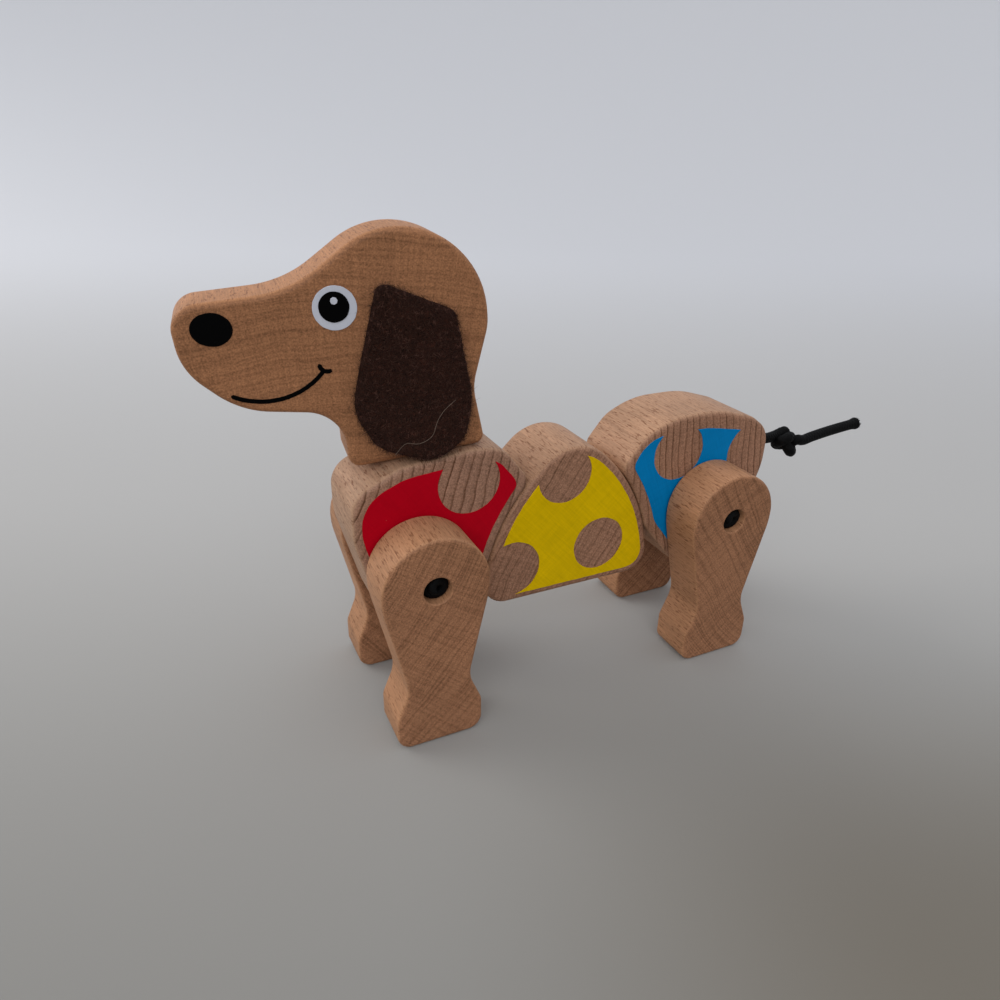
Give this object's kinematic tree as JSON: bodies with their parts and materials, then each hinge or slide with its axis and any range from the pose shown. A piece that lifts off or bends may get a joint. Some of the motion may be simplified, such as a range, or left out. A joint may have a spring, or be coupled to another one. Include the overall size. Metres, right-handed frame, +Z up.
{
  "type": "jointed toy dog",
  "caption": "Flat-sided wooden dog on elastic cord, with a bending body, turning legs and head, felt ears, coloured spotted panels and a knotted cord tail.",
  "frame": {"origin": "on the floor, under the middle of the wooden dog, between its feet", "axes": "+Z up, the nose points along -X, the dog's left side faces -Y"},
  "size_m": [0.2208, 0.0528, 0.1324],
  "materials": {
    "beech": "waxed",
    "crimson_print": "satin",
    "yellow_print": "satin",
    "blue_print": "satin",
    "brown_felt": "felted",
    "white_print": "satin",
    "black_print": "satin",
    "elastic_cord": "braided cover"
  },
  "bodies": {
    "middle": {"middle_block": "beech", "yellow_panel_left": "yellow_print", "yellow_panel_right": "yellow_print", "spine_cord_middle": "elastic_cord"},
    "front_link": {"spine_cord_front": "elastic_cord"},
    "front": {"front_block": "beech", "red_panel_left": "crimson_print", "red_panel_right": "crimson_print", "neck_cord": "elastic_cord", "front_leg_cord": "elastic_cord"},
    "rear_link": {"spine_cord_rear": "elastic_cord"},
    "rear": {"rear_block": "beech", "blue_panel_left": "blue_print", "blue_panel_right": "blue_print", "rear_leg_cord": "elastic_cord", "spine_cord_end": "elastic_cord", "tail_cord": "elastic_cord"},
    "head": {"head": "beech", "head_knot": "elastic_cord", "eye_left": "white_print", "eye_right": "white_print", "pupil_left": "black_print", "pupil_right": "black_print", "glint_left": "white_print", "glint_right": "white_print", "nose_left": "black_print", "nose_right": "black_print", "mouth_left": "black_print", "mouth_right": "black_print"},
    "ear_left": {"ear_left": "brown_felt"},
    "ear_right": {"ear_right": "brown_felt"},
    "front_left_leg": {"front_left_leg": "beech", "front_left_knot": "elastic_cord"},
    "front_right_leg": {"front_right_leg": "beech", "front_right_knot": "elastic_cord"},
    "rear_left_leg": {"rear_left_leg": "beech", "rear_left_knot": "elastic_cord"},
    "rear_right_leg": {"rear_right_leg": "beech", "rear_right_knot": "elastic_cord"}
  },
  "joints": [
    {"name": "front_bend", "type": "hinge", "parent": "middle", "child": "front_link", "pos_m": [-0.0028, 0, 0.0636], "axis": [0, 1, 0], "range_deg": [0, 20], "stiffness_Nm_per_rad": 0.4, "springref_deg": -14.32, "deforming": ["spine_cord_front"]},
    {"name": "front_stretch", "type": "slide", "parent": "front_link", "child": "front", "axis": [-1, 0, 0], "range_m": [0, 0.008], "stiffness_N_per_m": 400, "springref_m": -0.03, "deforming": ["spine_cord_front"]},
    {"name": "rear_bend", "type": "hinge", "parent": "middle", "child": "rear_link", "pos_m": [0.0313, 0, 0.0613], "axis": [0, -1, 0], "range_deg": [0, 20], "stiffness_Nm_per_rad": 0.4, "springref_deg": -14.32, "deforming": ["spine_cord_rear"]},
    {"name": "rear_stretch", "type": "slide", "parent": "rear_link", "child": "rear", "axis": [1, 0, 0], "range_m": [0, 0.008], "stiffness_N_per_m": 400, "springref_m": -0.03, "deforming": ["spine_cord_rear"]},
    {"name": "neck_turn", "type": "hinge", "parent": "front", "child": "head", "pos_m": [-0.02998, 0, 0.0773], "axis": [-0.0872, 0, 0.9962], "range_deg": [-180, 180]},
    {"name": "ear_left_flap", "type": "hinge", "parent": "head", "child": "ear_left", "pos_m": [-0.03417, -0.0075, 0.12065], "axis": [-0.9907, 0.1045, -0.0867], "range_deg": [0, 75], "stiffness_Nm_per_rad": 0.002},
    {"name": "ear_right_flap", "type": "hinge", "parent": "head", "child": "ear_right", "pos_m": [-0.0326, 0.00742, 0.12079], "axis": [0.9907, -0.1045, 0.0867], "range_deg": [0, 75], "stiffness_Nm_per_rad": 0.002},
    {"name": "front_left_leg_turn", "type": "hinge", "parent": "front", "child": "front_left_leg", "pos_m": [-0.03358, -0.0192, 0.0484], "axis": [0, 1, 0], "range_deg": [-135, 135]},
    {"name": "front_right_leg_turn", "type": "hinge", "parent": "front", "child": "front_right_leg", "pos_m": [-0.03358, 0.0192, 0.0484], "axis": [0, 1, 0], "range_deg": [-135, 135]},
    {"name": "rear_left_leg_turn", "type": "hinge", "parent": "rear", "child": "rear_left_leg", "pos_m": [0.06042, -0.0192, 0.0484], "axis": [0, -1, 0], "continuous": true},
    {"name": "rear_right_leg_turn", "type": "hinge", "parent": "rear", "child": "rear_right_leg", "pos_m": [0.06042, 0.0192, 0.0484], "axis": [0, -1, 0], "continuous": true}
  ]
}
